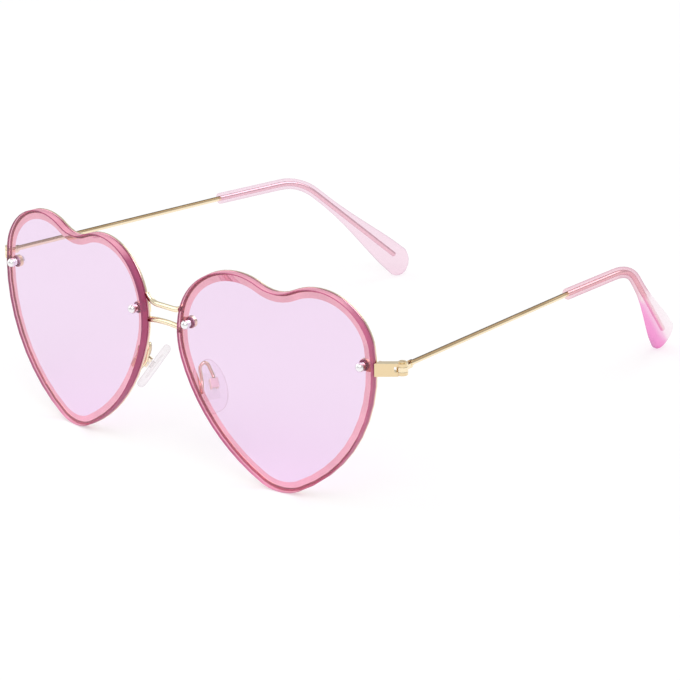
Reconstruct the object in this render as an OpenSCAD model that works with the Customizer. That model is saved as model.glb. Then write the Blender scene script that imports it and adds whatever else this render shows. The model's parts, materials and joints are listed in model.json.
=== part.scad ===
// Heart shaped sunglasses: two flat heart lenses carried in front of gold heart wire rims,
// joined by a double bridge, with adjustable nose pads and folding temples.
// +Z up, the front faces -Y, the wearer's left is +X. Open, they stand on the lens tips and temple tips.
// Origin midway between the foremost and rearmost points, on the surface that they stand on.

/* [Lenses] */
// Width of one heart lens
lens_w = 60; // [54:0.5:64]
// Height of one heart lens
lens_h = 57.5; // [50:0.5:62]
// Gap between the two lenses over the nose
lens_gap = 12.4; // [11.6:0.1:15]
// Angle that each lens turns back towards the temples
wrap = 8.4; // [5:0.1:11]
// Whole thickness of a lens
lens_t = 2.4; // [2:0.1:2.8]
// Depth of the straight side wall of a lens
wall_t = 1.9; // [1.4:0.1:1.9]
// Width of the bevel cut round the back of a lens
bevel_w = 2.6; // [1:0.1:3.2]

/* [Lens fixing] */
// Distance of a stud's axis from the lens edge
stud_edge = 3.1; // [2.9:0.1:3.6]
// Height of the temple side stud above the lens centre
stud_outer_z = 9.2; // [8.6:0.1:9.6]
// Height of the nose side stud above the lens centre
stud_inner_z = 10.4; // [9.5:0.1:11]
// Diameter of a stud's shank
stud_d = 1.1; // [0.9:0.05:1.2]
// Diameter of a stud's ball head
stud_head_d = 2.5; // [2.4:0.1:2.8]
// Diameter of the hole drilled in the lens
lens_hole_d = 2; // [1.9:0.1:2.1]
// Width of the small nut behind a stud, across its corners
nut_d = 2.1; // [1.9:0.05:2.2]
// Thickness of the small nut
nut_t = 0.9; // [0.7:0.05:1]

/* [Rim wires] */
// Diameter of the heart shaped rim wire
rim_d = 1; // [0.8:0.05:1.1]
// Distance of the rim wire's centre inside the lens outline
rim_inset = 0.5; // [0.35:0.05:0.6]
// Distance from the lens's side wall to the rim wire's front
rim_gap = 0.35; // [0.3:0.05:0.45]

/* [Bridge] */
// Diameter of both bridge bars
bar_d = 1.5; // [1.2:0.05:1.7]
// Height of the upper bar above the lens centre
bar_upper_z = 12.4; // [12:0.1:13]
// Height of the lower bar above the lens centre, in the middle
bar_lower_z = 8.1; // [7.2:0.1:8.6]
// Radius of the upper bar's upturned ends
bar_upper_r = 5; // [4.4:0.1:5.4]
// Radius of the lower bar's gentle arch
bar_lower_r = 36; // [30:1:80]

/* [End pieces and hinges] */
// Height of the end piece beside the lens
end_h = 3.5; // [3.3:0.1:3.9]
// Thickness of the end piece's tongue and the nose lug behind the lens
end_t = 1; // [0.9:0.05:1.1]
// Thickness of the end piece beside the lens
end_block_t = 1.9; // [1.6:0.05:2]
// Distance of the end piece's front edge behind the lens's front face
end_front = 1; // [0.8:0.1:1.3]
// Angle that the end piece turns back beside the lens
end_turn = 32; // [28:1:34]
// Distance from the end piece's front edge to the hinge axis
end_l = 7.1; // [6.7:0.1:7.5]
// Height of the hinge's middle above the lens centre
hinge_z = 8.7; // [8.3:0.1:9]
// Height of the three hinge barrels together
barrel_h = 3.2; // [3:0.1:3.3]
// Diameter of the hinge barrels
barrel_d = 3; // [2.7:0.1:3.2]
// Height of the middle barrel
barrel_mid_h = 1.3; // [1.1:0.05:1.6]
// Diameter of the hinge screw
hinge_screw_d = 1; // [0.8:0.05:1.2]

/* [Temples] */
// Diameter of the temple wire
temple_d = 1.35; // [1.1:0.05:1.5]
// Length of the temple from the hinge axis to the middle of the ear bend
temple_l = 107.5; // [100:0.5:112]
// Angle that the temple leans in
temple_toe = 5.4; // [4:0.1:7]
// Angle that the bare wire slopes down
temple_drop = 2.5; // [1:0.1:3]
// Diameter of the collar where the wire joins the hinge
collar_d = 1.7; // [1.6:0.05:1.8]

/* [Temple tips] */
// Diameter of the round sleeve
sleeve_d = 3.1; // [2.8:0.1:3.4]
// Length of the sleeve from its open end to the middle of the ear bend
sleeve_l = 31; // [25:0.5:40]
// Angle that the sleeve slopes down as far as the ear bend
sleeve_drop = 3.3; // [2:0.1:5]
// Radius of the ear bend
bend_r = 20; // [16:0.5:22]
// Angle that the part behind the ear leans in
ear_toe = 19.5; // [12:0.5:20]
// Angle that the part behind the ear slopes down
ear_drop = 42; // [38:0.5:46]
// Width of the flat paddle
paddle_w = 9.4; // [8:0.1:10.5]
// Thickness of the flat paddle
paddle_t = 2.8; // [2.6:0.1:3.2]
// Length over which the sleeve widens to the paddle
paddle_l = 37; // [30:0.5:39]
// Distance of the wire's end from the paddle's end
core_short = 6; // [4:0.5:10]

/* [Nose pads] */
// Length of a nose pad
pad_l = 14.5; // [12:0.1:15]
// Width of a nose pad
pad_w = 8; // [7:0.1:8.4]
// Thickness of a nose pad
pad_t = 2.2; // [2:0.1:2.6]
// Distance of the pad screw outside the lens's nose edge
pad_out = 6; // [5.2:0.1:6.4]
// Distance of the pad screw behind the rim wire's centre
pad_back = 4.7; // [4.4:0.1:5.2]
// Distance of the pad screw below the lens centre
pad_low = 7.4; // [6.5:0.1:8.5]
// Diameter of the pad arm wire
arm_d = 0.9; // [0.7:0.05:1]
// Diameter of the pad screw
pad_screw_d = 0.7; // [0.6:0.05:0.8]

/* [Hidden] */
$fn = 48;

// Clearances
solder_gap = 0.02;
running_gap = 0.05;
press_gap = 0.01;
hinge_gap = 0.1;
side_gap = 0.15;
lens_back_gap = 0.3;
// How far cutting shapes run past what they cut
overrun = 1;

// Vector helpers
function unit(v) = v / norm(v);
function smooth(t) = let(c = min(1, max(0, t))) c * c * (3 - 2 * c);

// Heart outline in shares of the lens width. A lobe is the [across, up, radius] of its circle, a side
// follows it with its own radius, and an angle is where one arc passes into the next
nose_lobe_share = [0.207, 0.160, 0.288];
nose_side_radius_share = 0.400;
nose_low_radius_share = 0.850;
nose_side_angle = 16;
nose_low_angle = -17;
temple_lobe_share = [0.217, 0.168, 0.282];
temple_side_radius_share = 0.215;
temple_low_radius_share = 0.685;
temple_side_angle = 27;
temple_low_angle = 9;
tip_radius_share = 0.215;
cleft_radius_share = 0.175;

// Points on an arc, without its last point
function arc(c, r, from, to, steps) =
    [for (i = [0 : steps - 1]) let(a = from + (to - from) * i / steps) c + r * [cos(a), sin(a)]];
// Centre of the circle that continues an arc smoothly from the angle a with another radius
function next_centre(c, r, a, r_next) = c + (r - r_next) * [cos(a), sin(a)];
// Crossing of two circles, the upper one where up is 1 and the lower one where it is -1
function crossing(c1, r1, c2, r2, up) =
    let(
        d = norm(c2 - c1),
        a = (r1 * r1 - r2 * r2 + d * d) / (2 * d),
        h = sqrt(r1 * r1 - a * a),
        along = (c2 - c1) / d
    )
    c1 + a * along + up * h * [-along.y, along.x];
function angle_of(v) = atan2(v.y, v.x);
function flip(p) = [-p.x, p.y];

// The nose side is worked out as a right half and flipped, so both halves share these rules
nose_c1 = [nose_lobe_share[0], nose_lobe_share[1]];
nose_r1 = nose_lobe_share[2];
nose_c2 = next_centre(nose_c1, nose_r1, nose_side_angle, nose_side_radius_share);
nose_c3 = next_centre(nose_c2, nose_side_radius_share, nose_low_angle, nose_low_radius_share);
temple_c1 = [temple_lobe_share[0], temple_lobe_share[1]];
temple_r1 = temple_lobe_share[2];
temple_c2 = next_centre(temple_c1, temple_r1, temple_side_angle, temple_side_radius_share);
temple_c3 = next_centre(temple_c2, temple_side_radius_share, temple_low_angle, temple_low_radius_share);
tip_c = crossing(temple_c3, temple_low_radius_share - tip_radius_share,
                 flip(nose_c3), nose_low_radius_share - tip_radius_share, -1);
cleft_c = crossing(flip(nose_c1), nose_r1 + cleft_radius_share,
                   temple_c1, temple_r1 + cleft_radius_share, 1);
nose_cleft_angle = angle_of(flip(cleft_c) - nose_c1);
nose_tip_angle = angle_of(flip(tip_c) - nose_c3);
temple_cleft_angle = angle_of(cleft_c - temple_c1);
temple_tip_angle = angle_of(tip_c - temple_c3);

// Runs anticlockwise from the cleft over the nose lobe, round the tip and up the temple side
heart_raw = concat(
    [for (p = arc(nose_c1, nose_r1, nose_cleft_angle, nose_side_angle, 18)) flip(p)],
    [for (p = arc(nose_c2, nose_side_radius_share, nose_side_angle, nose_low_angle, 6)) flip(p)],
    [for (p = arc(nose_c3, nose_low_radius_share, nose_low_angle, nose_tip_angle, 10)) flip(p)],
    [for (p = arc(flip(tip_c), tip_radius_share, nose_tip_angle, -180 - temple_tip_angle, 9)) flip(p)],
    arc(temple_c3, temple_low_radius_share, temple_tip_angle, temple_low_angle, 10),
    arc(temple_c2, temple_side_radius_share, temple_low_angle, temple_side_angle, 3),
    arc(temple_c1, temple_r1, temple_side_angle, temple_cleft_angle, 17),
    arc(cleft_c, cleft_radius_share, temple_cleft_angle - 180, -nose_cleft_angle, 6)
);
raw_x = [for (p = heart_raw) p.x];
raw_y = [for (p = heart_raw) p.y];
raw_mid = (min(raw_x) + max(raw_x)) / 2;
heart = [for (p = heart_raw)
    [(p.x - raw_mid) * lens_w / (max(raw_x) - min(raw_x)), p.y * lens_h / (max(raw_y) - min(raw_y))]];
lens_z = -min([for (p = heart) p.y]);

// Outline moved inwards by the distance d
function inset(points, d) =
    let(n = len(points))
    [for (i = [0 : n - 1])
        let(along = unit(points[(i + 1) % n] - points[(i + n - 1) % n]))
        points[i] + d * [-along.y, along.x]];
// Distance of the outline's edge from the lens centre at the height z, on the side s (1 temple, -1 nose)
function edge_x(points, z, s) =
    let(n = len(points))
    max([for (i = [0 : n - 1])
        let(p = points[i], q = points[(i + 1) % n])
        if ((p.y - z) * (q.y - z) <= 0 && p.y != q.y) s * (p.x + (q.x - p.x) * (z - p.y) / (q.y - p.y))]);

// Depths behind the lens's front face
rim_mid = wall_t + rim_gap + rim_d / 2;
plate_front = lens_t + lens_back_gap;
plate_back = plate_front + end_t;

// Left lens frame: x across towards the temple, y back from the lens's front face, z up from the lens centre
lens_x = lens_gap / 2 + lens_w / 2 * cos(wrap);
lens_o = [lens_x, 0, lens_z];
across = [cos(wrap), sin(wrap), 0];
back = [-sin(wrap), cos(wrap), 0];
up = [0, 0, 1];
function from_lens(p) = lens_o + p.x * across + p.y * back + p.z * up;

// Stud places in the lens frame
stud_outer = [edge_x(heart, stud_outer_z, 1) - stud_edge, 0, stud_outer_z];
stud_inner = [-edge_x(heart, stud_inner_z, -1) + stud_edge, 0, stud_inner_z];
studs = [stud_outer, stud_inner];
head_r = stud_head_d / 2;
head_rise = 0.45;
flange_d = stud_head_d + lens_hole_d / 4;

// Points and faces of one closed skin over a list of rings; each ring is a list of points
function skin_points(rings, first, last) = concat([for (r = rings) each r], [first, last]);
function skin_faces(count, n) = concat(
    [for (k = [0 : count - 2]) for (i = [0 : n - 1])
        let(a = k * n + i, b = k * n + (i + 1) % n)
        each [[a, b, b + n], [a, b + n, a + n]]],
    [for (i = [0 : n - 1]) [count * n, (i + 1) % n, i]],
    [for (i = [0 : n - 1]) [count * n + 1, (count - 1) * n + i, (count - 1) * n + (i + 1) % n]]
);
module skin(rings, first, last) {
    polyhedron(points = skin_points(rings, first, last), faces = skin_faces(len(rings), len(rings[0])));
}
// Closed loop tube through a ring of centres in one plane, with the plane's normal
function loop_faces(count, n) = [for (k = [0 : count - 1]) for (i = [0 : n - 1])
    let(
        m = (k + 1) % count,
        j = (i + 1) % n,
        a = k * n + i,
        b = k * n + j,
        c = m * n + i,
        d = m * n + j
    )
    each [[a, d, b], [a, c, d]]];

module on_lens() {
    multmatrix([
        [across.x, back.x, 0, lens_o.x],
        [across.y, back.y, 0, lens_o.y],
        [0, 0, 1, lens_o.z]
    ]) children();
}
// Lays a shape drawn in x and y flat against the lens plane, from the depth near to the depth far
module plate(near, far) {
    translate([0, far, 0]) rotate([90, 0, 0]) linear_extrude(height = far - near) children();
}
// Round rod along the depth direction
module rod(place, near, far, d) {
    translate([place.x, far, place.z]) rotate([90, 0, 0]) cylinder(d = d, h = far - near);
}
// Everything is drawn for the left side; side is 1 for the left and -1 for the right
module on_side(side) {
    translate([0, -mid_y, 0]) mirror([side < 0 ? 1 : 0, 0, 0]) children();
}

// Lens: small front chamfer, straight wall and wide bevel round the back
chamfer = 0.2;
lens_rings = [
    for (r = [[chamfer, 0], [0, chamfer], [0, wall_t], [bevel_w, lens_t]])
        [for (p = inset(heart, r[0])) [p.x, r[1], p.y]]
];
module lens(side) {
    color([0.93, 0.80, 0.95, 0.75]) on_side(side) on_lens() difference() {
        skin(lens_rings, [0, 0, 0], [0, lens_t, 0]);
        for (s = studs) rod(s, -overrun, lens_t + overrun, lens_hole_d);
    }
}

// Rim wire
rim_path = inset(heart, rim_inset);
rim_sides = 10;
function rim_points(d) = [for (i = [0 : len(rim_path) - 1])
    let(
        n = len(rim_path),
        p = rim_path[i],
        along = unit(rim_path[(i + 1) % n] - rim_path[(i + n - 1) % n]),
        out = [along.y, -along.x]
    )
    for (k = [0 : rim_sides - 1])
        let(a = 360 * k / rim_sides, c = d / 2 * cos(a))
        [p.x + out.x * c, rim_mid + d / 2 * sin(a), p.y + out.y * c]];
module rim_solid(d) {
    polyhedron(points = rim_points(d), faces = loop_faces(len(rim_path), rim_sides));
}
module rim_wire(side) {
    color([0.90, 0.76, 0.48]) on_side(side) on_lens() rim_solid(rim_d);
}

// Bridge: both bars lie in one upright plane through the rim wires' nose sides
function rim_on_lens(z, s) = [s * edge_x(rim_path, z, s), rim_mid, z];
function rim_place(z) = from_lens(rim_on_lens(z, -1));
bar_y = rim_place((bar_upper_z + bar_lower_z) / 2).y;
bar_turn = 56;
bar_rise = bar_upper_r * (1 - cos(bar_turn));
bar_end_z = bar_upper_z + bar_rise;
bar_half = rim_place(bar_end_z).x - rim_d / 2 - bar_upper_r * sin(bar_turn);
rim_fit = 0.18;
// Straight length of rim wire between two heights on the side s of the lens, thicker by the fit
module rim_cut(low, high, s, fit) {
    p = rim_on_lens(low, s);
    q = rim_on_lens(high, s);
    along = unit(q - p);
    side = [along.z, 0, -along.x];
    frame_at(p - norm(q - p) * along, side, cross(along, side), along)
        cylinder(d = rim_d + fit, h = 3 * norm(q - p));
}
module rim_cuts(low, high) {
    for (s = [0, 1]) mirror([s, 0, 0]) on_lens() rim_cut(low, high, -1, rim_fit);
}
// Part of a ring of round wire in the upright plane, from the lowest point round towards +X
module wire_arc(r, d, turn) {
    rotate([90, 0, 0]) rotate([0, 0, -90]) rotate_extrude(angle = turn) translate([r, 0]) circle(d = d);
}
module bridge_upper_bar() {
    color([0.90, 0.76, 0.48]) translate([0, -mid_y, 0]) difference() {
        translate([0, bar_y, lens_z + bar_upper_z]) union() {
            translate([-bar_half, 0, 0]) rotate([0, 90, 0]) cylinder(d = bar_d, h = 2 * bar_half);
            for (s = [0, 1]) mirror([s, 0, 0])
                translate([bar_half, 0, bar_upper_r]) wire_arc(bar_upper_r, bar_d, bar_turn);
        }
        rim_cuts(bar_end_z - bar_d, bar_end_z + bar_d);
    }
}
bar_lower_turn = asin(rim_place(bar_lower_z).x / bar_lower_r);
arch_fine = 360;
module bridge_lower_bar() {
    color([0.90, 0.76, 0.48]) translate([0, -mid_y, 0]) difference() {
        translate([0, bar_y, lens_z + bar_lower_z - bar_lower_r]) rotate([0, bar_lower_turn, 0])
            rotate([90, 0, 0]) rotate([0, 0, 90])
                rotate_extrude(angle = 2 * bar_lower_turn, $fn = arch_fine)
                    translate([bar_lower_r, 0]) circle(d = bar_d);
        rim_cuts(bar_lower_z - bar_d, bar_lower_z);
    }
}

// Small plate inside the rim wire that holds the nose side stud
lug_d = 3.3;
tongue_h = 2.2;
// Round plate at a stud with a tongue from the height z to the place x
module stud_plate(stud, x, z) {
    plate(plate_front, plate_back) {
        translate([stud.x, stud.z]) circle(d = lug_d);
        translate([min(stud.x, x), z - tongue_h / 2]) square([abs(x - stud.x), tongue_h]);
    }
}
module stud_bore(stud) {
    rod(stud, plate_front - overrun, plate_back + overrun, stud_d + 2 * running_gap);
}
module nose_lug(side) {
    color([0.90, 0.76, 0.48]) on_side(side) on_lens() difference() {
        stud_plate(stud_inner, rim_on_lens(stud_inner_z, -1).x, stud_inner_z);
        stud_bore(stud_inner);
        rim_cut(stud_inner_z - tongue_h / 2, stud_inner_z + tongue_h / 2, -1, rim_fit);
    }
}

// End piece: tongue behind the lens, block turned back beside it, and the hinge's outer barrels
end_bend = lens_w / 2 + side_gap;
barrel_r = barrel_d / 2;
// How far from the hinge axis a block or an arm ends inside its barrel, clear of the bore
barrel_seat = (barrel_r + hinge_screw_d / 2) / 2;
// Place in the lens frame at a distance along the block's front and a distance behind it
function on_block(l, t) =
    [end_bend + l * cos(end_turn) - t * sin(end_turn), end_front + l * sin(end_turn) + t * cos(end_turn)];
hinge_u = on_block(end_l, end_block_t / 2).x;
hinge_depth = on_block(end_l, end_block_t / 2).y;
block_l = end_l - barrel_seat;
// Length along the block's back to where it meets the tongue's back
tongue_l = (plate_back - end_front - end_block_t * cos(end_turn)) / sin(end_turn);
block_outline = [
    [end_bend, end_front],
    on_block(block_l, 0),
    on_block(block_l, end_block_t),
    on_block(tongue_l, end_block_t),
    [end_bend, plate_back]
];
barrel_low = hinge_z - barrel_h / 2;
barrel_top = hinge_z + barrel_h / 2;
end_low = barrel_top - end_h;
end_fit = 0.26;
arm_half = collar_d * 0.4;
// Largest angle that a temple folds in by
fold = 80;
// Reach of the slot that lets the temple's arm swing in against the block
slot_r = (arm_half + end_block_t / 2) / sin(90 + wrap + end_turn - temple_toe - fold);
module end_piece(side) {
    mid_cut = barrel_mid_h + 2 * running_gap;
    color([0.90, 0.76, 0.48]) on_side(side) on_lens() difference() {
        union() {
            stud_plate(stud_outer, end_bend + rim_d / 2, hinge_z);
            translate([0, 0, end_low]) linear_extrude(height = end_h) polygon(block_outline);
            translate([hinge_u, hinge_depth, barrel_low]) cylinder(d = barrel_d, h = barrel_h);
        }
        translate([hinge_u, hinge_depth, hinge_z - mid_cut / 2]) cylinder(r = slot_r, h = mid_cut);
        stud_bore(stud_outer);
        rim_cut(barrel_low, barrel_top, 1, end_fit);
        translate([hinge_u, hinge_depth, barrel_low - overrun])
            cylinder(d = hinge_screw_d + 2 * running_gap, h = barrel_h + 2 * overrun);
    }
}

// Hinge screw with a slotted head on the upper barrel
screw_head_d = hinge_screw_d * 1.9;
screw_head_t = 0.35;
screw_slot_w = 0.25;
module hinge_screw(side) {
    color("silver") on_side(side) on_lens() translate([hinge_u, hinge_depth, barrel_low]) difference() {
        union() {
            cylinder(d = hinge_screw_d, h = barrel_h + screw_head_t / 2);
            translate([0, 0, barrel_h]) cylinder(d = screw_head_d, h = screw_head_t);
        }
        translate([-screw_head_d, -screw_slot_w / 2, barrel_h + screw_head_t / 2])
            cube([2 * screw_head_d, screw_slot_w, screw_head_t]);
    }
}

// Studs through the lens, their plastic bushes and their nuts
module lens_studs(side) {
    color("silver") on_side(side) on_lens() for (s = studs) {
        rod(s, -head_rise, plate_back + nut_t + solder_gap, stud_d);
        intersection() {
            translate([s.x, -head_rise, s.z]) sphere(d = stud_head_d);
            rod(s, -head_rise - stud_head_d, 0, 2 * stud_head_d);
        }
    }
}
module stud_bushes(side) {
    color([0.96, 0.85, 0.92]) on_side(side) on_lens() for (s = studs) difference() {
        union() {
            rod(s, chamfer, lens_t + running_gap, lens_hole_d - 2 * press_gap);
            rod(s, lens_t + press_gap, plate_front - press_gap, flange_d);
        }
        rod(s, -overrun, plate_front + overrun, stud_d + 2 * press_gap);
    }
}
module stud_nuts(side) {
    color("silver") on_side(side) on_lens() for (s = studs) difference() {
        translate([s.x, plate_back + press_gap + nut_t, s.z]) rotate([90, 0, 0])
            cylinder(d = nut_d, h = nut_t, $fn = 6);
        rod(s, plate_back - overrun, plate_back + nut_t + overrun, stud_d + 2 * press_gap);
    }
}

// Temple directions: along the wire, along the part behind the ear, and across the ear bend
function heading(toe, drop) = [-sin(toe) * cos(drop), cos(toe) * cos(drop), -sin(drop)];
hinge_o = from_lens([hinge_u, hinge_depth, hinge_z]);
wire_dir = heading(temple_toe, temple_drop);
sleeve_dir = heading(temple_toe, sleeve_drop);
ear_dir = heading(ear_toe, ear_drop);
bend_axis = unit(cross(sleeve_dir, ear_dir));
bend_turn = acos(sleeve_dir * ear_dir);
bend_reach = bend_r * tan(bend_turn / 2);
sleeve_up = cross(sleeve_dir, bend_axis);
ear_up = cross(ear_dir, bend_axis);
wire_rise = 0.5;
wire_o = hinge_o + wire_rise * up;
sleeve_start = wire_o + (temple_l - sleeve_l) * wire_dir;
corner = sleeve_start + sleeve_l * sleeve_dir;
bend_centre = corner - bend_reach * sleeve_dir - bend_r * sleeve_up;
module frame_at(o, x, y, z) {
    multmatrix([[x.x, y.x, z.x, o.x], [x.y, y.y, z.y, o.y], [x.z, y.z, z.z, o.z]]) children();
}
function turned_up(a) = cos(a) * sleeve_up + sin(a) * sleeve_dir;

// Paddle shape: places of its rings in shares of its length, the length of its rounded end, and how far
// its lower edge swings out past the sleeve's line
paddle_place_share = [1, 0.86, 0.72, 0.58, 0.46, 0.35, 0.25];
paddle_round = 4.6;
paddle_shift = 1;
round_steps = 6;
tip_sides = 20;
paddle_square_share = 1.7;
// Section of the sleeve or the paddle, with half sizes across (h) and through (t); a larger square is squarer
function section(c, u, h, t, square) = [for (i = [0 : tip_sides - 1])
    let(a = 360 * i / tip_sides, x = cos(a), y = sin(a))
    c + u * h * sign(x) * pow(abs(x), 1 / square) + bend_axis * t * sign(y) * pow(abs(y), 1 / square)];
function tube_section(c, u, d) = section(c, u, d / 2, d / 2, 1);
// Ring at the distance d from the paddle's end, drawn in by the factor f at the rounded end
function paddle_ring(end, d, f) =
    let(
        g = smooth(1 - d / paddle_l),
        h = (sleeve_d + (paddle_w - sleeve_d) * g) / 2 * f,
        t = (sleeve_d + (paddle_t - sleeve_d) * g) / 2 * sqrt(f)
    )
    section(end - d * ear_dir - paddle_shift * g * ear_up, ear_up, h, t, 1 + (paddle_square_share - 1) * g);
function paddle_rings(end) = concat(
    [for (s = paddle_place_share) paddle_ring(end, s * paddle_l, 1)],
    [for (i = [1 : round_steps])
        let(a = 90 * i / (round_steps + 0.5))
        paddle_ring(end, paddle_round * (1 - sin(a)), cos(a))]
);
// The paddle ends where its lowest point meets the surface that the glasses stand on
paddle_low = min([for (r = paddle_rings([0, 0, 0])) for (p = r) p.z]);
ear_l = (corner.z + paddle_low) / -ear_dir.z;
paddle_end = corner + ear_l * ear_dir;
bend_steps = 8;
// Rings of a round tube or bore of the diameter d, from the sleeve's open end round the ear bend
function bent_rings(d) = concat(
    [tube_section(sleeve_start, sleeve_up, d)],
    [for (i = [0 : bend_steps])
        let(q = turned_up(bend_turn * i / bend_steps))
        tube_section(bend_centre + bend_r * q, q, d)]
);
tip_rings = concat(bent_rings(sleeve_d), paddle_rings(paddle_end));

// Foremost and rearmost points set the middle of the whole part
front_y = from_lens(stud_inner - [0, head_rise, 0]).y - head_r;
back_y = max([for (r = tip_rings) for (p = r) p.y]);
mid_y = (front_y + back_y) / 2;

// Temple wire: middle barrel, flat arm, collar, and the wire that runs on as the core inside the tip
function wire_rings(d, end) = concat(bent_rings(d), [tube_section(end, ear_up, d)]);
core_end = paddle_end - core_short * ear_dir;
arm_out = barrel_d + hinge_gap;
collar_l = 1.1;
wire_start = wire_o + arm_out * wire_dir;
wire_side = unit(cross(wire_dir, up));
module temple_wire(side) {
    color([0.90, 0.76, 0.48]) on_side(side) difference() {
        union() {
            translate(hinge_o - [0, 0, barrel_mid_h / 2]) cylinder(d = barrel_d, h = barrel_mid_h);
            translate(hinge_o - [0, 0, barrel_mid_h / 2]) rotate([0, 0, temple_toe])
                translate([-arm_half, barrel_seat, 0])
                    cube([2 * arm_half, arm_out + collar_l / 2 - barrel_seat, barrel_mid_h]);
            frame_at(wire_start, wire_side, cross(wire_dir, wire_side), wire_dir)
                cylinder(d = collar_d, h = collar_l);
            skin(
                concat([tube_section(wire_start, sleeve_up, temple_d)], wire_rings(temple_d, core_end)),
                wire_start, core_end
            );
        }
        translate(hinge_o - [0, 0, barrel_mid_h])
            cylinder(d = hinge_screw_d + 2 * running_gap, h = 2 * barrel_mid_h);
    }
}
// Temple tip: one skin from the bottom of the core's bore to its mouth, and back over the outside
function reversed(list) = [for (i = [len(list) - 1 : -1 : 0]) list[i]];
bore_end = core_end + running_gap * ear_dir;
bore_rings = wire_rings(temple_d + 2 * running_gap, bore_end);
module temple_tip(side) {
    color([0.95, 0.72, 0.82, 0.8]) on_side(side)
        skin(concat(reversed(bore_rings), tip_rings), bore_end, paddle_end - paddle_shift * ear_up);
}

// Nose pad frame: across the pad, up along it, and towards the nose, about the pad screw
pad_lean_in = 30;
pad_lean_back = 19;
pad_splay = 30;
pad_up = [-sin(pad_lean_in), cos(pad_lean_in) * sin(pad_lean_back), cos(pad_lean_in) * cos(pad_lean_back)];
pad_level = [-cos(pad_splay), sin(pad_splay), 0];
pad_in = unit(pad_level - (pad_level * pad_up) * pad_up);
pad_across = cross(pad_up, pad_in);
pad_rim = rim_place(-pad_low);
pad_o = [lens_gap / 2 + pad_out, pad_rim.y + pad_back, lens_z - pad_low];
module on_pad() {
    frame_at(pad_o, pad_across, pad_up, pad_in) children();
}
tab_t = 1;
tab_r = 0.9;
ear_t = 0.5;
box_floor = 0.6;
pad_stand = 0.85;
box_lip = 0.55;
box_half = tab_t / 2 + running_gap + ear_t;
box_deep = tab_r + 2 * running_gap + box_floor;
box_l = 2.6;
module pad_box(side) {
    color([0.90, 0.76, 0.48]) on_side(side) on_pad() difference() {
        translate([-box_half, -box_l / 2, -box_deep]) cube([2 * box_half, box_l, box_deep + box_lip]);
        translate([-tab_t / 2 - running_gap, -box_l, -box_deep + box_floor])
            cube([tab_t + 2 * running_gap, 2 * box_l, box_deep + tab_r]);
        translate([-box_half - overrun, 0, 0]) rotate([0, 90, 0])
            cylinder(d = pad_screw_d + 2 * press_gap, h = 2 * box_half + 2 * overrun);
    }
}
module pad_screw(side) {
    color("silver") on_side(side) on_pad() translate([-box_half, 0, 0]) rotate([0, 90, 0]) {
        cylinder(d = pad_screw_d, h = 2 * box_half);
        translate([0, 0, -pad_screw_d / 2]) cylinder(d = 2 * pad_screw_d, h = pad_screw_d / 2);
    }
}
insert_w = 3.2;
insert_l = 7;
insert_t = 0.6;
insert_z = pad_stand + (pad_t - insert_t) / 2;
module insert_solid(grow) {
    translate([-insert_w / 2 - grow, -insert_l / 2 - grow, insert_z - grow])
        cube([insert_w + 2 * grow, insert_l + 2 * grow, insert_t + 2 * grow]);
    translate([-tab_t / 2 - grow, -tab_r - grow, 0])
        cube([tab_t + 2 * grow, 2 * tab_r + 2 * grow, insert_z]);
    translate([-tab_t / 2 - grow, 0, 0]) rotate([0, 90, 0]) cylinder(r = tab_r + grow, h = tab_t + 2 * grow);
}
module pad_insert(side) {
    color([0.95, 0.95, 0.93]) on_side(side) on_pad() difference() {
        insert_solid(0);
        translate([-tab_t, 0, 0]) rotate([0, 90, 0])
            cylinder(d = pad_screw_d + 2 * running_gap, h = 2 * tab_t);
    }
}
// Oval pad with rounded edges, narrower at its top: heights in shares of its thickness, and how far the
// outline is drawn in there
pad_height_share = [0, 0.12, 0.35, 0.65, 0.88, 1];
pad_inset_share = [0.3, 0.1, 0, 0.03, 0.2, 0.5];
pad_narrow_share = 0.12;
pad_sides = 32;
pad_rings = [for (k = [0 : len(pad_height_share) - 1])
    let(cut = pad_inset_share[k] * pad_t)
    [for (i = [0 : pad_sides - 1])
        let(a = -360 * i / pad_sides, narrow = 1 - pad_narrow_share * sin(a))
        [
            (pad_w / 2 - cut) * cos(a) * narrow,
            (pad_l / 2 - cut) * sin(a),
            pad_stand + pad_height_share[k] * pad_t
        ]]];
module nose_pad(side) {
    color([0.95, 0.95, 0.97, 0.7]) on_side(side) on_pad() difference() {
        skin(pad_rings, [0, 0, pad_stand], [0, 0, pad_stand + pad_t]);
        insert_solid(press_gap);
    }
}

// Pad arm: from the rim wire's back up into a narrow loop and down to the back of the pad box
arm_rise = 6;
arm_foot = 1.4;
arm_sides = 10;
arm_gap = 0.12;
// Knots of the loop: how far along the line from the arm's foot to the box, and how far that knot lies
// across and up from the line, in shares of the rise
arm_knot_shares = [
    [0.35, -0.26, 0.21], [0.44, -0.36, 0.50], [0.49, -0.42, 0.77],
    [0.75, -0.34, 0.81], [0.94, -0.24, 0.60], [1.03, -0.17, 0.32]
];
function beside_rim(rise) = rim_place(rise - pad_low) + ((rim_d + arm_d) / 2 + arm_gap) * unit(back + across);
arm_base = beside_rim(-arm_foot);
// Where the arm meets the upper end of the pad box, on the box's floor
arm_seat = pad_o + (box_l / 2 + arm_gap) * pad_up - (box_deep - arm_d / 2) * pad_in;
arm_knots = concat(
    [arm_base, beside_rim(-arm_foot / 2)],
    [for (s = arm_knot_shares)
        arm_base + s[0] * (arm_seat - arm_base) + arm_rise * (s[1] * across + s[2] * up)],
    [arm_seat + arm_foot / 2 * pad_up, arm_seat]
);
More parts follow.
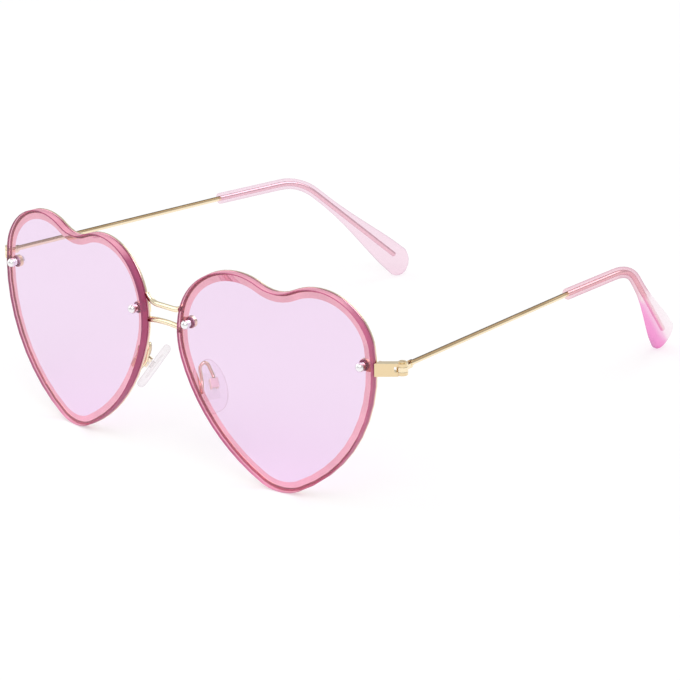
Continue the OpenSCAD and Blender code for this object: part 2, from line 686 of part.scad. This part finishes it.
// Smooth curve through the knots
function spline(a, b, c, d, t) =
    (2 * b + (c - a) * t + (2 * a - 5 * b + 4 * c - d) * t * t + (3 * b - a - 3 * c + d) * t * t * t) / 2;
arm_steps = 3;
arm_path = let(k = arm_knots, n = len(arm_knots)) concat(
    [for (i = [0 : n - 2]) for (j = [0 : arm_steps - 1])
        spline(k[max(i - 1, 0)], k[i], k[i + 1], k[min(i + 2, n - 1)], j / arm_steps)],
    [k[n - 1]]
);
function path_dir(path, i) = unit(path[min(i + 1, len(path) - 1)] - path[max(i - 1, 0)]);
// Carries the side direction along the path without twist
function path_sides(path, i = 0, side = [1, 0, 0], done = []) =
    i == len(path) ? done :
    let(t = path_dir(path, i), s = unit(side - (side * t) * t))
    path_sides(path, i + 1, s, concat(done, [s]));
arm_side = path_sides(arm_path);
arm_rings = [for (i = [0 : len(arm_path) - 1])
    let(t = path_dir(arm_path, i), s = arm_side[i], q = cross(s, t))
    [for (k = [0 : arm_sides - 1])
        let(a = 360 * k / arm_sides)
        arm_path[i] + arm_d / 2 * (cos(a) * s + sin(a) * q)]];
module pad_arm(side) {
    color([0.90, 0.76, 0.48]) on_side(side) skin(arm_rings, arm_path[0], arm_path[len(arm_path) - 1]);
}

bridge_upper_bar();
bridge_lower_bar();
lens(1);  // lens_left
lens(-1);  // lens_right
rim_wire(1);  // rim_wire_left
rim_wire(-1);  // rim_wire_right
nose_lug(1);  // nose_lug_left
nose_lug(-1);  // nose_lug_right
end_piece(1);  // end_piece_left
end_piece(-1);  // end_piece_right
lens_studs(1);  // lens_studs_left
lens_studs(-1);  // lens_studs_right
stud_bushes(1);  // stud_bushes_left
stud_bushes(-1);  // stud_bushes_right
stud_nuts(1);  // stud_nuts_left
stud_nuts(-1);  // stud_nuts_right
hinge_screw(1);  // hinge_screw_left
hinge_screw(-1);  // hinge_screw_right
temple_wire(1);  // temple_wire_left
temple_wire(-1);  // temple_wire_right
temple_tip(1);  // temple_tip_left
temple_tip(-1);  // temple_tip_right
pad_arm(1);  // pad_arm_left
pad_arm(-1);  // pad_arm_right
pad_box(1);  // pad_box_left
pad_box(-1);  // pad_box_right
pad_screw(1);  // pad_screw_left
pad_screw(-1);  // pad_screw_right
pad_insert(1);  // pad_insert_left
pad_insert(-1);  // pad_insert_right
nose_pad(1);  // nose_pad_left
nose_pad(-1);  // nose_pad_right
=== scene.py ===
import json
import math

import bmesh
import bpy
from mathutils import Matrix, Vector


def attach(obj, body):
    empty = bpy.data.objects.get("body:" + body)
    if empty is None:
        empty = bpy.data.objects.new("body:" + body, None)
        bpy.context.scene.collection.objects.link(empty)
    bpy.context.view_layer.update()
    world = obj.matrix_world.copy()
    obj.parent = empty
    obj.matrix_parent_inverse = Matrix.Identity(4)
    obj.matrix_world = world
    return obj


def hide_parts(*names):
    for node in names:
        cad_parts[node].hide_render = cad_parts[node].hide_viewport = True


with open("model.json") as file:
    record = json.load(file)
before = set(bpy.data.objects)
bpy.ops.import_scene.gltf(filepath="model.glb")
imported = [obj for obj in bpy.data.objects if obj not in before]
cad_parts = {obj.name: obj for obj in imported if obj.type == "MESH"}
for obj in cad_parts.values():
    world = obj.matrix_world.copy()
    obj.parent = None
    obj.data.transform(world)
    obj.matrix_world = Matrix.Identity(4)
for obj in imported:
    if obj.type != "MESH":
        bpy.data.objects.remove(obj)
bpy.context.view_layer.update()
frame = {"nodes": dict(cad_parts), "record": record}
nodes = frame["nodes"]

# Camera as in the photograph: a long lens, from the front and the wearer's left, its angles in degrees
AZIMUTH = 41.50
ELEVATION = 20.44
ROLL = -0.65
DISTANCE = 1.0868
TARGET = (0.02363, -0.03342, 0.02738)
SENSOR = 36.0
FOCAL = 217.02
CLIP_START = 0.01

# Lamps: where each stands, its size in metres and its power in watts
LAMPS = {
    "key": ((0.55, -0.75, 1.10), 0.9, 6.8),
    "fill": ((-0.95, -0.45, 0.70), 1.1, 3.7),
    "back": ((0.10, 1.00, 0.85), 1.0, 4.5),
}
# How bright the world is as light, half the floor's width in metres, and the share of the floor that glows
WORLD_LIGHT = 0.57
FLOOR_REACH = 6.0
FLOOR_GLOW = 0.5

# Lenses: the angle in degrees that each turns back towards the temples, where its front face lies along its
# normal, and its thickness
WRAP = 8.4
LENS_FRONT = -0.0778024
LENS_THICK = 0.0024
# Least share of a face's normal along its lens's normal, for the flat faces and for the back bevel
FLAT_SHARE = 0.996
BEVEL_SHARE = 0.9
# Distance from a stud's axis within which a lens's faces belong to its drilled hole
HOLE_REACH = 0.0013
# Distance behind the lens within which a bush's faces still belong to its sleeve
SLEEVE_REACH = 0.00005
# Distance from an insert's corners within which a nose pad's corners belong to its hollow
HOLLOW_REACH = 0.0001

# Rim wires: the places along the lens's normal between which a painted reflection of the red lens wall turns
# into gold
RIM_DEPTH = (LENS_FRONT + 0.00225, LENS_FRONT + 0.00325)
# Temple wires: where the tips begin, behind the part's middle, and the least upward value outside them;
# their upper side gets a painted dark reflection
SLEEVE_START = 0.0135
BARE_LEAST = 0.28
# Bridge bars: how far from the part's middle a painted red reflection of the lens walls begins on their
# ends, and the upward values that it lies under
BAR_END = (0.0046, 0.0053)
BAR_UNDER = (0.75, 0.6)
# Lens walls: the upward values over which their colour turns into the painted light on their upper side
WALL_RISE = (0.88, 0.975)
# Left tip behind the ear bend: its direction and the direction across its paddle, how far the bend's corner
# lies along each, where its painted reflections fade in behind that corner, and the reach that they cover
# across
EAR_DIRECTION = (-0.2481, 0.7005, -0.6691)
EAR_UP = (0.1443, 0.7097, 0.6895)
EAR_CORNER = -0.007100
EAR_LINE = 0.063987
FACET_START = (0.0180, 0.0205)
FACET_REACH = (-0.0055, 0.0045)

# Noise of the materials, in spots to a metre, and how many finer layers it has
METAL_DRIFT = 90.0
METAL_GLOSS = 260.0
METAL_GRAIN = 1500.0
PLASTIC_DRIFT = 120.0
PLASTIC_GLOSS = 300.0
PLASTIC_GRAIN = 600.0
LENS_GRAIN = 500.0
NOISE_LAYERS = 3.0
# Height of the grain in metres, and its strength
METAL_RELIEF = (0.00002, 0.3)
PLASTIC_RELIEF = (0.00002, 0.2)
LENS_RELIEF = (0.00001, 0.05)
# How far noise moves a colour along its stops, and the shares by which it changes a roughness
METAL_SHIFT = 0.06
JELLY_SHIFT = 0.05
METAL_SWING = (0.8, 1.25)
PLASTIC_SWING = (0.7, 1.3)
# Noise over which painted plastic goes from its darker colour to its own, and how much darker that is
SHADE_BAND = (0.3, 0.7)
SHADE = 0.15
TOP_SHADE = 0.1
# Facing value from which the clearness of a jelly changes towards its outline
JELLY_EDGE = 0.3
# How strongly plastic bends or mirrors light, and how rough a lens is
PLASTIC_IOR = 1.5
JELLY_IOR = 1.45
LENS_ROUGHNESS = 0.02
# Tips: clearness where they face the eye and at their outline, and roughness
TIP_CLEARNESS = (0.94, 0.8)
TIP_ROUGHNESS = 0.08

# Angles in degrees above which the edges of a piece stay sharp
LENS_CREASE = 10
PLATE_CREASE = 35
WIRE_CREASE = 40
ROUND_CREASE = 50
# Radii in metres of the sharp edges
END_EDGE = 0.00010
PLATE_EDGE = 0.00008
INSERT_EDGE = 0.00006
WIRE_EDGE = 0.00005
SCREW_EDGE = 0.00004
# Distance in metres within which a CAD mesh's corners are one
WELD = 1e-6

# Colours, as red, green and blue between 0 and 1 in linear light
WHITE = (1.0, 1.0, 1.0)
BLACK = (0.0, 0.0, 0.0)
GOLD = (0.95, 0.81, 0.57)
# Gold painted half dark and dark: shade at the outlines of thin metal parts, and a dark reflection along the
# temple wires' upper side
GOLD_PAINTED_HALF_DARK = (0.62, 0.46, 0.28)
GOLD_PAINTED_DARK = (0.17, 0.11, 0.05)
# Painted red reflection of the lens walls on the bridge bars' ends
GOLD_LENS_REFLECTION = (0.30, 0.03, 0.05)
GOLD_FACE = (0.86, 0.68, 0.42)
GOLD_BAR = (0.97, 0.86, 0.62)
GOLD_CORE = (1.0, 0.93, 0.87)
GOLD_PALE = (1.0, 0.92, 0.78)
# Painted shade at the outline of the pad boxes
GOLD_PALE_PAINTED_SHADE = (0.93, 0.78, 0.56)
# Painted reflection of the lens wall on the rim wires' front, and its fading into gold
RIM_WALL_REFLECTION = (0.55, 0.20, 0.32)
RIM_HALF_REFLECTION = (0.72, 0.50, 0.44)
SILVER = (0.92, 0.91, 0.92)
# Painted shade at the outline of the silver parts
SILVER_PAINTED_SHADE = (0.55, 0.52, 0.54)
LENS = (0.87, 0.70, 0.88)
BEVEL = (1.0, 0.55, 0.61)
# Lens walls: painted light pink on their upper side, and one magenta painted lighter on the left and darker
# on the right as light and shade
WALL_LIT_TOP = (0.98, 0.46, 0.60)
WALL = {"left": (0.60, 0.15, 0.29), "right": (0.46, 0.09, 0.21)}
BUSH = (0.95, 0.70, 0.78)
# Painted dark red shade in the lenses' drilled holes, on the bushes' sleeves
BUSH_HOLE_SHADE = (0.30, 0.02, 0.09)

# Tips, nose pads and inserts: colours from where they face the eye (0) to their outline (1), with painted
# shade towards the outline, deeper on the left tip and pad than on the right
TIP_STOPS = {
    "left": (
        (0.35, (0.965, 0.85, 0.875)),
        (0.62, (0.95, 0.79, 0.84)),
        (0.85, (0.86, 0.66, 0.73)),
        (1.0, (0.66, 0.46, 0.53)),
    ),
    "right": (
        (0.4, (0.965, 0.865, 0.915)),
        (0.75, (0.94, 0.83, 0.89)),
        (1.0, (0.74, 0.60, 0.67)),
    ),
}
# Nose pads: painted shade towards the outline, pink and deep on the left, faint grey on the right
PAD_STOPS = {
    "left": (
        (0.4, (0.985, 0.975, 0.98)),
        (0.85, (0.93, 0.86, 0.88)),
        (0.97, (0.72, 0.50, 0.56)),
    ),
    "right": (
        (0.3, (0.965, 0.955, 0.96)),
        (1.0, (0.92, 0.90, 0.91)),
    ),
}
PAD_HOLLOW_STOPS = ((0.4, (1.0, 0.998, 0.998)), (1.0, (0.99, 0.985, 0.985)))
INSERT_STOPS = ((0.4, (0.998, 0.99, 0.99)), (1.0, (0.97, 0.95, 0.955)))
# Painted reflections on the left tip's paddle, a magenta band and a light middle, from its lower edge (0) to
# its upper edge (1)
PADDLE_REFLECTION_STOPS = (
    (0.0, (0.80, 0.50, 0.70)),
    (0.12, (0.95, 0.55, 0.80)),
    (0.38, (0.96, 0.62, 0.83)),
    (0.5, (0.985, 0.90, 0.94)),
    (0.9, (0.99, 0.965, 0.975)),
    (1.0, (0.80, 0.74, 0.78)),
)


class Tree:
    """Builds the nodes of a material or of the world."""

    def __init__(self, owner, output="OutputMaterial"):
        owner.use_nodes = True
        self.owner = owner
        self.tree = owner.node_tree
        self.tree.nodes.clear()
        self.output = self.add(output)

    def add(self, kind, **values):
        node = self.tree.nodes.new("ShaderNode" + kind)
        for key, value in values.items():
            setattr(node, key, value)
        return node

    def set(self, node, name, value):
        """Links or sets an input of a node, found by its name or its number."""
        socket = node.inputs[name]
        if isinstance(value, bpy.types.NodeSocket):
            self.tree.links.new(value, socket)
        elif isinstance(value, tuple) and len(value) == 3 and socket.type == "RGBA":
            socket.default_value = (*value, 1)
        else:
            socket.default_value = value
        return node

    def calculate(self, operation, *values):
        node = self.add("Math", operation=operation)
        for number, value in enumerate(values):
            self.set(node, number, value)
        return node.outputs["Value"]

    def place(self, axis):
        """Where the surface lies along an axis of the part, in metres."""
        parts = self.add("SeparateXYZ")
        self.set(parts, "Vector", self.add("TexCoord").outputs["Object"])
        return parts.outputs[axis]

    def noise(self, scale):
        node = self.add("TexNoise")
        self.set(node, "Vector", self.add("TexCoord").outputs["Object"])
        self.set(node, "Scale", scale)
        self.set(node, "Detail", NOISE_LAYERS)
        return node.outputs["Fac"]

    def spread(self, value, low, high, start=0.0, end=1.0):
        """low where the value is start, high where it is end."""
        node = self.add("MapRange")
        self.set(node, "Value", value)
        self.set(node, "From Min", start)
        self.set(node, "From Max", end)
        self.set(node, "To Min", low)
        self.set(node, "To Max", high)
        return node.outputs["Result"]

    def ramp(self, value, stops):
        node = self.add("ValToRGB")
        self.set(node, "Fac", value)
        elements = node.color_ramp.elements
        while len(elements) < len(stops):
            elements.new(0.5)
        for element, (place, colour) in zip(elements, stops):
            element.position = place
            element.color = (*colour, 1)
        return node.outputs["Color"]

    def blend(self, factor, first, second):
        """Mix of two colours. A Mix node's colour inputs are numbers 6 and 7, and its colour output is 2."""
        node = self.add("Mix", data_type="RGBA")
        self.set(node, "Factor", factor)
        self.set(node, 6, first)
        self.set(node, 7, second)
        return node.outputs[2]

    def bump(self, height, distance, strength):
        node = self.add("Bump")
        self.set(node, "Height", height)
        self.set(node, "Distance", distance)
        self.set(node, "Strength", strength)
        return node.outputs["Normal"]

    def facing(self):
        """0 where the surface faces the eye, 1 at its outline."""
        node = self.add("LayerWeight")
        self.set(node, "Blend", 0.5)
        return node.outputs["Facing"]

    def upward(self):
        """0 where the surface faces down, 1 where it faces up."""
        parts = self.add("SeparateXYZ")
        self.set(parts, "Vector", self.add("NewGeometry").outputs["Normal"])
        return self.spread(parts.outputs["Z"], 0.0, 1.0, -1.0, 1.0)

    def bare_upward(self):
        """Like upward, but at least BARE_LEAST, and 0 where a temple wire lies inside its tip."""
        bare = self.calculate("LESS_THAN", self.place("Y"), SLEEVE_START)
        return self.calculate("MULTIPLY", self.calculate("MAXIMUM", self.upward(), BARE_LEAST), bare)

    # Where a red reflection of the lens walls is painted on the bridge bars
    def bar_lens_reflection(self):
        """0 over the middle of a bridge bar, 1 below its ends beside the lenses."""
        ends = self.spread(self.calculate("ABSOLUTE", self.place("X")), 0.0, 1.0, *BAR_END)
        under = self.spread(self.upward(), 0.0, 1.0, *BAR_UNDER)
        return self.calculate("MULTIPLY", ends, under)

    def behind_lens(self):
        """0 at the front of a rim wire, 1 at its back."""
        outward = self.calculate("ABSOLUTE", self.place("X"))
        across = self.calculate("MULTIPLY", outward, -math.sin(math.radians(WRAP)))
        depth = self.calculate("MULTIPLY_ADD", self.place("Y"), math.cos(math.radians(WRAP)), across)
        return self.spread(depth, 0.0, 1.0, *RIM_DEPTH)

    def along(self, direction, start, low, high):
        """0 where the distance along a direction, counted from start, is low, and 1 where it is high."""
        product = self.add("VectorMath", operation="DOT_PRODUCT")
        self.set(product, 0, self.add("TexCoord").outputs["Object"])
        self.set(product, 1, direction)
        return self.spread(product.outputs["Value"], 0.0, 1.0, start + low, start + high)

    def gloss(self, scale, roughness, swing):
        """A roughness that drifts a little from place to place."""
        return self.spread(self.noise(scale), roughness * swing[0], roughness * swing[1])

    def shade(self, colour, share):
        """A colour that is darker by the share in places."""
        darker = tuple(part * (1 - share) for part in colour)
        return self.ramp(self.noise(PLASTIC_DRIFT), ((SHADE_BAND[0], darker), (SHADE_BAND[1], colour)))

    def shifted(self, value, scale, shift):
        """A value that noise moves up and down."""
        return self.calculate("ADD", value, self.spread(self.noise(scale), -shift, shift))

    def principled(self, **values):
        node = self.add("BsdfPrincipled")
        for key, value in values.items():
            self.set(node, key.replace("_", " ").title().replace("Ior", "IOR"), value)
        return node.outputs["BSDF"]

    def transparent(self, tint):
        return self.set(self.add("BsdfTransparent"), "Color", tint).outputs["BSDF"]

    def bright(self, kind, strength):
        """White light of a Background or an Emission node."""
        node = self.add(kind)
        self.set(node, "Color", WHITE)
        self.set(node, "Strength", strength)
        return node.outputs[0]

    def mix(self, factor, first, second):
        """Mix of two shaders."""
        node = self.add("MixShader")
        self.set(node, "Fac", factor)
        self.set(node, 1, first)
        self.set(node, 2, second)
        return node.outputs["Shader"]

    def finish(self, shader):
        self.set(self.output, "Surface", shader)
        return self.owner


def metal(name, roughness, value, stops):
    """Plated metal with the colours of stops over the value, and a gloss that drifts a little along the
    wire, with a fine drawn surface. Most of its stops are painted shade, highlights and reflections."""
    t = Tree(bpy.data.materials.new(name))
    surface = t.principled(
        base_color=t.ramp(t.shifted(value(t), METAL_DRIFT, METAL_SHIFT), stops),
        roughness=t.gloss(METAL_GLOSS, roughness, METAL_SWING),
        metallic=1.0,
        normal=t.bump(t.noise(METAL_GRAIN), *METAL_RELIEF),
    )
    return t.finish(surface)


def bent(name, tint):
    """Clear tinted plastic that bends light, and lets lamps through with its tint."""
    t = Tree(bpy.data.materials.new(name))
    surface = t.principled(
        base_color=tint,
        roughness=t.gloss(PLASTIC_GLOSS, LENS_ROUGHNESS, PLASTIC_SWING),
        ior=PLASTIC_IOR,
        transmission_weight=1.0,
        normal=t.bump(t.noise(LENS_GRAIN), *LENS_RELIEF),
    )
    shadow = t.add("LightPath").outputs["Is Shadow Ray"]
    return t.finish(t.mix(shadow, surface, t.transparent(tint)))


def painted(name, colour, clearness, roughness, top=None):
    """Tinted plastic that shows its own colour and passes a share of the light without bending it, with the
    colour top where it faces up, painted light from above."""
    t = Tree(bpy.data.materials.new(name))
    tint = t.shade(colour, SHADE)
    if top:
        rise = t.ramp(t.upward(), ((WALL_RISE[0], BLACK), (WALL_RISE[1], WHITE)))
        tint = t.blend(rise, tint, t.shade(top, TOP_SHADE))
    surface = t.principled(
        base_color=tint,
        roughness=t.gloss(PLASTIC_GLOSS, roughness, PLASTIC_SWING),
        ior=PLASTIC_IOR,
        normal=t.bump(t.noise(PLASTIC_GRAIN), *PLASTIC_RELIEF),
    )
    return t.finish(t.mix(clearness, surface, t.transparent(tint)))


def jelly(name, stops, clearness, roughness, facet=None):
    """Clear plastic that doesn't bend light, with the colours of stops from where it faces the eye to its
    outline, and with its clearness there and at the outline. facet gives the painted reflections across the
    paddle."""
    t = Tree(bpy.data.materials.new(name))
    facing = t.facing()
    tint = t.ramp(t.shifted(facing, PLASTIC_DRIFT, JELLY_SHIFT), stops)
    if facet:
        there = t.along(EAR_DIRECTION, EAR_CORNER, *FACET_START)
        tint = t.blend(there, tint, t.ramp(t.along(EAR_UP, EAR_LINE, *FACET_REACH), facet))
    surface = t.principled(
        base_color=tint,
        roughness=t.gloss(PLASTIC_GLOSS, roughness, PLASTIC_SWING),
        ior=JELLY_IOR,
        normal=t.bump(t.noise(PLASTIC_GRAIN), *PLASTIC_RELIEF),
    )
    share = t.spread(facing, *clearness, JELLY_EDGE)
    return t.finish(t.mix(share, surface, t.transparent(tint)))


# Metals whose colour follows facing: the darker colour towards the outline is painted shade, the lighter one
# on gold_face a painted highlight
gold_plain = metal("gold_plain", 0.2, Tree.facing, ((0.5, GOLD), (0.9, GOLD_PAINTED_HALF_DARK)))
# Temple wires: a dark reflection painted along their upper side, growing as they face up, and a paler gold
# where they lie inside the tips
gold_wire = metal(
    "gold_wire",
    0.2,
    Tree.bare_upward,
    ((0.12, GOLD_CORE), (0.2, GOLD), (0.6, GOLD), (0.76, GOLD_PAINTED_HALF_DARK), (0.9, GOLD_PAINTED_DARK)),
)
# Bridge bars: pale gold, with a painted red reflection of the lens walls below their ends
gold_bar = metal("gold_bar", 0.25, Tree.bar_lens_reflection, ((0.3, GOLD_BAR), (0.7, GOLD_LENS_REFLECTION)))
gold_thin = metal("gold_thin", 0.2, Tree.facing, ((0.35, GOLD), (0.6, GOLD_PAINTED_HALF_DARK), (0.9, GOLD_PAINTED_DARK)))
# Rim wires: a red reflection of the lens wall painted on their front, fading into gold at their back
gold_rim = metal("gold_rim", 0.2, Tree.behind_lens, ((0.1, RIM_WALL_REFLECTION), (0.3, RIM_HALF_REFLECTION), (0.45, GOLD)))
gold_pale = metal("gold_pale", 0.3, Tree.facing, ((0.4, GOLD_PALE), (0.9, GOLD_PALE_PAINTED_SHADE)))
# End pieces and hinge screws: the lighter outline, in the bars' gold, is a painted highlight
gold_face = metal("gold_face", 0.3, Tree.facing, ((0.3, GOLD_FACE), (0.75, GOLD_BAR)))
silver = metal("silver", 0.3, Tree.facing, ((0.5, SILVER), (0.95, SILVER_PAINTED_SHADE)))
lens_face = bent("lens_face", LENS)
lens_bevel = painted("lens_bevel", BEVEL, clearness=0.85, roughness=0.2)
# Lens walls: the left and right copies are painted light and shade of one magenta, with painted light where
# they face up
lens_wall = {
    side: painted("lens_wall_" + side, colour, clearness=0.25, roughness=0.4, top=WALL_LIT_TOP)
    for side, colour in WALL.items()
}
# Tips: painted shade towards the outline, deeper on the left, and painted reflections on the left paddle
tip_plastic = {
    "left": jelly("tip_plastic_left", TIP_STOPS["left"], TIP_CLEARNESS, TIP_ROUGHNESS, PADDLE_REFLECTION_STOPS),
    "right": jelly("tip_plastic_right", TIP_STOPS["right"], TIP_CLEARNESS, TIP_ROUGHNESS),
}
# Nose pads: left and right copies of one silicone, with deeper painted shade on the left
pad_silicone = {
    "left": jelly("pad_silicone_left", PAD_STOPS["left"], clearness=(0.95, 0.85), roughness=0.3),
    "right": jelly("pad_silicone_right", PAD_STOPS["right"], clearness=(0.9, 0.82), roughness=0.4),
}
pad_inside = jelly("pad_inside", PAD_HOLLOW_STOPS, clearness=(0.99, 0.98), roughness=0.3)
insert_plastic = jelly("insert_plastic", INSERT_STOPS, clearness=(0.985, 0.96), roughness=0.3)
bush_flange = painted("bush_flange", BUSH, clearness=0.35, roughness=0.2)
# Bush sleeves in the lens holes: nearly opaque dark red, painted shade of the holes
bush_hole_shade = painted("bush_hole_shade", BUSH_HOLE_SHADE, clearness=0.05, roughness=0.6)

BODY = {node: body for body, members in frame["record"]["behaviour"]["bodies"].items() for node in members}


def polished(node, materials, crease, edge=0.0, pick=None):
    """Puts a finished piece in the place of a CAD node, in its shape: welded, smoothly shaded up to the
    crease angle, with its sharp edges rounded by the radius edge. pick gives the number of a face's
    material."""
    mesh = bpy.data.meshes.new(node + "_finished")
    work = bmesh.new()
    work.from_mesh(nodes[node].data)
    bmesh.ops.remove_doubles(work, verts=work.verts, dist=WELD)
    bmesh.ops.dissolve_degenerate(work, edges=work.edges, dist=WELD)
    work.normal_update()
    for face in work.faces:
        face.smooth = True
        face.material_index = pick(face) if pick else 0
    for line in work.edges:
        line.smooth = len(line.link_faces) == 2 and line.calc_face_angle(0) < math.radians(crease)
    work.to_mesh(mesh)
    work.free()
    piece = bpy.data.objects.new(node + "_finished", mesh)
    bpy.context.scene.collection.objects.link(piece)
    for material in materials:
        mesh.materials.append(material)
    if edge:
        rounding = piece.modifiers.new("rounding", "BEVEL")
        rounding.width = edge
        rounding.segments = 2
        rounding.limit_method = "ANGLE"
        rounding.angle_limit = math.radians(crease)
        rounding.harden_normals = True
    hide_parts(node)
    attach(piece, BODY[node])


def stud_middles(side):
    """Middles of the two studs of a lens."""
    places = [point.co for point in nodes["lens_studs_" + side].data.vertices]
    middle = sum(abs(place.x) for place in places) / len(places)
    groups = [[p for p in places if abs(p.x) < middle], [p for p in places if abs(p.x) > middle]]
    return [sum(group, Vector()) / len(group) for group in groups]


def lens_side(side, back):
    """Which of a lens's materials a face has: 0 on the flat faces and in the drilled holes, 1 on the back
    bevel and 2 on the side wall."""
    middles = stud_middles(side)

    def pick(face):
        depth = face.normal.dot(back)
        offsets = [face.calc_center_median() - middle for middle in middles]
        if abs(depth) > FLAT_SHARE or any((v - v.dot(back) * back).length < HOLE_REACH for v in offsets):
            return 0
        return 1 if depth > BEVEL_SHARE else 2

    return pick


def pad_part(side):
    """Which of a nose pad's materials a face has: 0 outside, 1 in the hollow round the insert."""
    corners = [point.co for point in nodes["pad_insert_" + side].data.vertices]

    def pick(face):
        return int(all(any((v.co - c).length < HOLLOW_REACH for c in corners) for v in face.verts))

    return pick


def bush_part(back):
    """Which of a bush's materials a face has: 0 on the flange behind the lens, 1 on the sleeve in it."""

    def pick(face):
        depth = face.calc_center_median().dot(back) - LENS_FRONT
        return 1 if depth < LENS_THICK + SLEEVE_REACH else 0

    return pick


def side_pieces(side, back):
    """All pieces of one side, whose lens has the normal back."""
    plastics = [lens_face, lens_bevel, lens_wall[side]]
    polished("lens_" + side, plastics, LENS_CREASE, pick=lens_side(side, back))
    polished("rim_wire_" + side, [gold_rim], ROUND_CREASE)
    polished("pad_arm_" + side, [gold_thin], ROUND_CREASE)
    polished("end_piece_" + side, [gold_face], PLATE_CREASE, END_EDGE)
    polished("pad_box_" + side, [gold_pale], PLATE_CREASE, PLATE_EDGE)
    polished("nose_lug_" + side, [gold_plain], PLATE_CREASE, PLATE_EDGE)
    polished("temple_wire_" + side, [gold_wire], WIRE_CREASE, WIRE_EDGE)
    polished("temple_tip_" + side, [tip_plastic[side]], ROUND_CREASE)
    polished("nose_pad_" + side, [pad_silicone[side], pad_inside], ROUND_CREASE, pick=pad_part(side))
    polished("pad_insert_" + side, [insert_plastic], PLATE_CREASE, INSERT_EDGE)
    polished("stud_bushes_" + side, [bush_flange, bush_hole_shade], PLATE_CREASE, pick=bush_part(back))
    polished("lens_studs_" + side, [silver], PLATE_CREASE, SCREW_EDGE)
    polished("stud_nuts_" + side, [silver], PLATE_CREASE, SCREW_EDGE)
    polished("hinge_screw_" + side, [gold_face], PLATE_CREASE, SCREW_EDGE)
    polished("pad_screw_" + side, [silver], PLATE_CREASE, SCREW_EDGE)


def floor():
    """White floor that keeps soft shadows: partly its own white, partly lit."""
    t = Tree(bpy.data.materials.new("floor_paper"))
    lit = t.set(t.add("BsdfDiffuse"), "Color", WHITE).outputs["BSDF"]
    paper = t.finish(t.mix(FLOOR_GLOW, lit, t.bright("Emission", 1.0)))
    mesh = bpy.data.meshes.new("floor")
    work = bmesh.new()
    bmesh.ops.create_grid(work, x_segments=1, y_segments=1, size=FLOOR_REACH)
    work.to_mesh(mesh)
    work.free()
    mesh.materials.append(paper)
    piece = bpy.data.objects.new("floor", mesh)
    bpy.context.scene.collection.objects.link(piece)


def studio():
    """World that the camera sees as white, also through the lenses, and that lights the part more softly."""
    t = Tree(bpy.data.worlds.new("studio"), "OutputWorld")
    path = t.add("LightPath").outputs
    seen = t.calculate("MAXIMUM", path["Is Camera Ray"], path["Is Transmission Ray"])
    light = t.bright("Background", WORLD_LIGHT)
    bpy.context.scene.world = t.finish(t.mix(seen, light, t.bright("Background", 1.0)))


def lamps():
    for name, (place, size, power) in LAMPS.items():
        light = bpy.data.lights.new(name, "AREA")
        light.shape = "DISK"
        light.size = size
        light.energy = power
        lamp = bpy.data.objects.new(name, light)
        lamp.location = place
        lamp.rotation_euler = (Vector(TARGET) - Vector(place)).to_track_quat("-Z", "Y").to_euler()
        bpy.context.scene.collection.objects.link(lamp)


def camera():
    azimuth, elevation, roll = (math.radians(angle) for angle in (AZIMUTH, ELEVATION, ROLL))
    level = math.cos(elevation)
    forward = Vector((-math.sin(azimuth) * level, math.cos(azimuth) * level, -math.sin(elevation)))
    turn = forward.to_track_quat("-Z", "Y").to_matrix() @ Matrix.Rotation(roll, 3, "Z")
    lens = bpy.data.cameras.new("camera")
    lens.sensor_width = SENSOR
    lens.lens = FOCAL
    lens.clip_start = CLIP_START
    eye = bpy.data.objects.new("camera", lens)
    eye.matrix_world = Matrix.Translation(Vector(TARGET) - DISTANCE * forward) @ turn.to_4x4()
    bpy.context.scene.collection.objects.link(eye)
    bpy.context.scene.camera = eye


for side, sign in (("left", 1), ("right", -1)):
    side_pieces(side, Vector((-sign * math.sin(math.radians(WRAP)), math.cos(math.radians(WRAP)), 0)))
for bar in ("bridge_upper_bar", "bridge_lower_bar"):
    polished(bar, [gold_bar], PLATE_CREASE)
floor()
studio()
lamps()
camera()
bpy.context.scene.view_settings.view_transform = "Standard"
